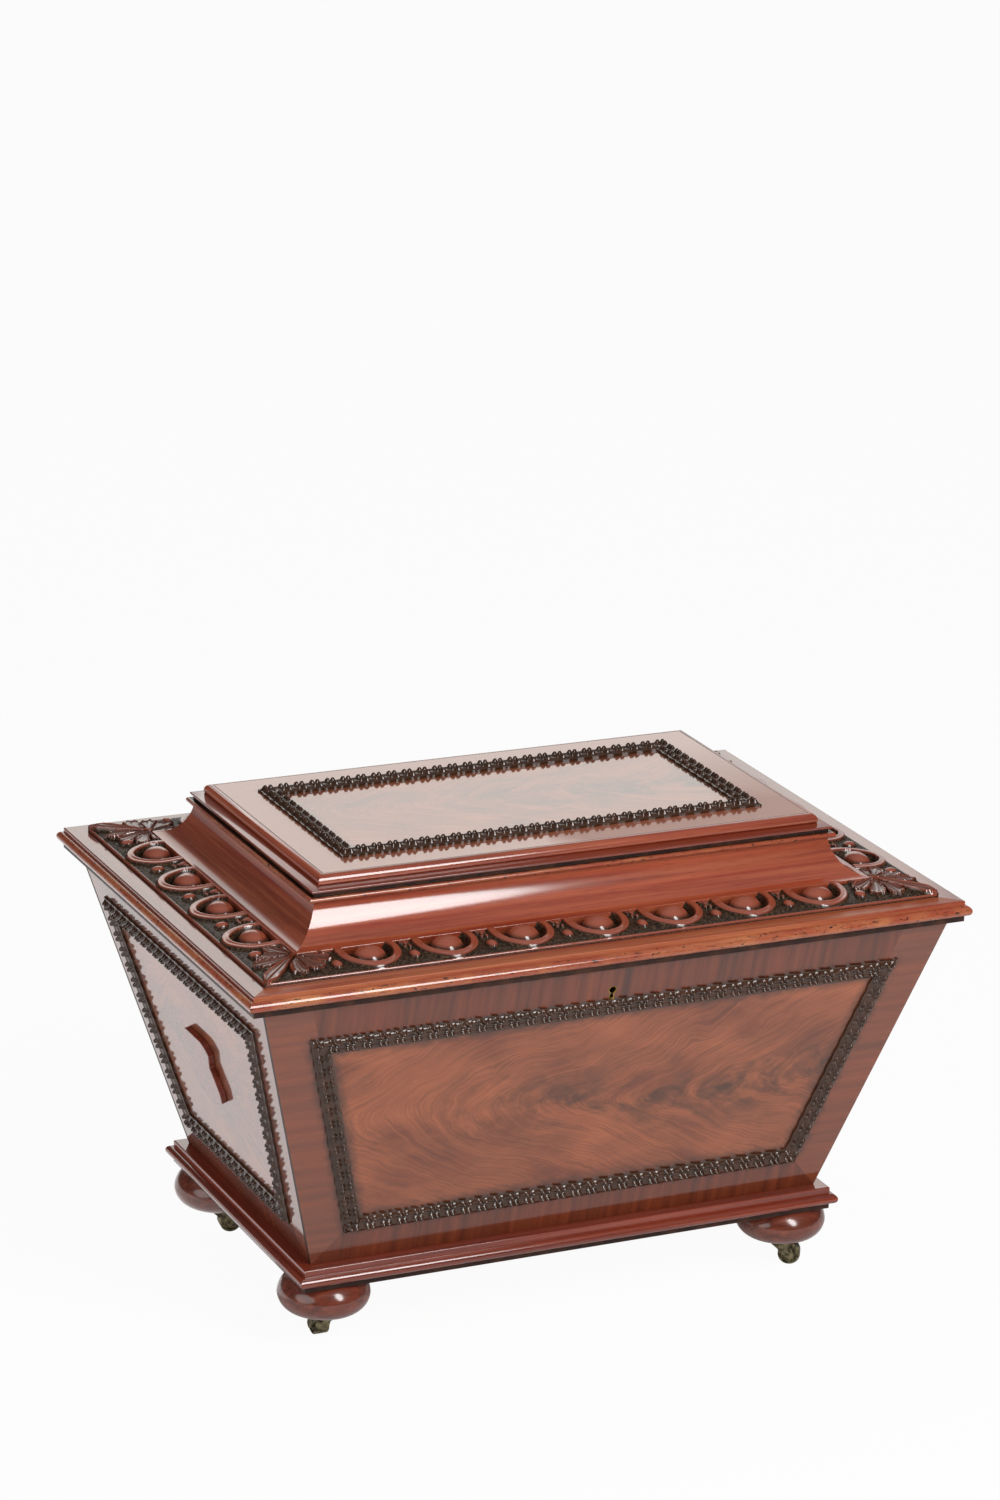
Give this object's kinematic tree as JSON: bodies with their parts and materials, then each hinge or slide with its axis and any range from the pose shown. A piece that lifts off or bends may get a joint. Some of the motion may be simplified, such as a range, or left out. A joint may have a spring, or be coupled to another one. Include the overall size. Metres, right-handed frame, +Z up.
{
  "type": "cellarette",
  "caption": "Sarcophagus-shaped cellarette with sloping ripple-framed panels, a stepped hinged lid with a carved egg border, bottle divisions and bun feet on castors.",
  "frame": {"origin": "on the floor, under the middle of the case", "axes": "+Z up, the keyhole side faces -Y, +X to the right of someone facing the keyhole"},
  "size_m": [0.75, 0.518, 0.4812],
  "materials": {
    "veneer": "french-polished crotch mahogany veneer",
    "moulded": "french-polished mahogany mouldings",
    "cove": "french-polished straight-grained mahogany",
    "carved": "carved mahogany, dark in the ground, polished on the high parts",
    "ripple": "ripple moulding, blackened by old polish",
    "shield": "polished mahogany",
    "turned": "turned and polished mahogany",
    "carcass_wood": "bare pine, darkened with age",
    "division_wood": "oiled mahogany slats",
    "brass": "worn brass",
    "castor_brass": "aged dull brass",
    "lock_steel": "old lock steel",
    "zinc": "dull grey zinc sheet"
  },
  "bodies": {
    "case": {"back_panel": "veneer", "back_ripple_frame": "ripple", "base_board": "carcass_wood", "castor_plate_back_left": "castor_brass", "castor_plate_back_right": "castor_brass", "castor_plate_front_left": "castor_brass", "castor_plate_front_right": "castor_brass", "cross_divisions": "division_wood", "foot_back_left": "turned", "foot_back_right": "turned", "foot_front_left": "turned", "foot_front_right": "turned", "front_panel": "veneer", "front_ripple_frame": "ripple", "hinge_lower_left": "brass", "hinge_lower_right": "brass", "keyhole_lining": "brass", "left_panel": "veneer", "left_ripple_frame": "ripple", "left_shield": "shield", "lock_case": "lock_steel", "long_divisions": "division_wood", "plinth_back": "moulded", "plinth_front": "moulded", "plinth_left": "moulded", "plinth_right": "moulded", "right_panel": "veneer", "right_ripple_frame": "ripple", "right_shield": "shield", "zinc_lining": "zinc"},
    "lid": {"carving_back": "carved", "carving_front": "carved", "carving_left": "carved", "carving_right": "carved", "cove_back": "cove", "cove_front": "cove", "cove_left": "cove", "cove_right": "cove", "hinge_upper_left": "brass", "hinge_upper_right": "brass", "lid_rail_back": "moulded", "lid_rail_front": "moulded", "lid_rail_left": "moulded", "lid_rail_right": "moulded", "link_plate": "brass", "tablet": "moulded", "top_panel": "veneer", "top_ripple_frame": "ripple", "upper_board": "moulded"},
    "bolt": {"lock_bolt": "lock_steel"},
    "castor_horn_front_left": {"castor_horn_front_left": "castor_brass"},
    "castor_wheel_front_left": {"castor_wheel_front_left": "castor_brass"},
    "castor_horn_front_right": {"castor_horn_front_right": "castor_brass"},
    "castor_wheel_front_right": {"castor_wheel_front_right": "castor_brass"},
    "castor_horn_back_left": {"castor_horn_back_left": "castor_brass"},
    "castor_wheel_back_left": {"castor_wheel_back_left": "castor_brass"},
    "castor_horn_back_right": {"castor_horn_back_right": "castor_brass"},
    "castor_wheel_back_right": {"castor_wheel_back_right": "castor_brass"}
  },
  "joints": [
    {"name": "lid_hinge", "type": "hinge", "parent": "case", "child": "lid", "pos_m": [0, 0.25, 0.3812], "axis": [-1, 0, 0], "range_deg": [0, 100]},
    {"name": "bolt_slide", "type": "slide", "parent": "case", "child": "bolt", "axis": [1, 0, 0], "range_m": [0, 0.007]},
    {"name": "castor_swivel_front_left", "type": "hinge", "parent": "case", "child": "castor_horn_front_left", "pos_m": [-0.2465, -0.1365, 0.0314], "axis": [0, 0, 1], "continuous": true},
    {"name": "castor_roll_front_left", "type": "hinge", "parent": "castor_horn_front_left", "child": "castor_wheel_front_left", "pos_m": [-0.2465, -0.1255, 0.0112], "axis": [1, 0, 0], "continuous": true},
    {"name": "castor_swivel_front_right", "type": "hinge", "parent": "case", "child": "castor_horn_front_right", "pos_m": [0.2465, -0.1365, 0.0314], "axis": [0, 0, 1], "continuous": true},
    {"name": "castor_roll_front_right", "type": "hinge", "parent": "castor_horn_front_right", "child": "castor_wheel_front_right", "pos_m": [0.25603, -0.142, 0.0112], "axis": [-0.5, -0.866, 0], "continuous": true},
    {"name": "castor_swivel_back_left", "type": "hinge", "parent": "case", "child": "castor_horn_back_left", "pos_m": [-0.2465, 0.1365, 0.0314], "axis": [0, 0, 1], "continuous": true},
    {"name": "castor_roll_back_left", "type": "hinge", "parent": "castor_horn_back_left", "child": "castor_wheel_back_left", "pos_m": [-0.23561, 0.13497, 0.0112], "axis": [-0.1392, -0.9903, 0], "continuous": true},
    {"name": "castor_swivel_back_right", "type": "hinge", "parent": "case", "child": "castor_horn_back_right", "pos_m": [0.2465, 0.1365, 0.0314], "axis": [0, 0, 1], "continuous": true},
    {"name": "castor_roll_back_right", "type": "hinge", "parent": "castor_horn_back_right", "child": "castor_wheel_back_right", "pos_m": [0.241, 0.14603, 0.0112], "axis": [0.866, 0.5, 0], "continuous": true}
  ]
}
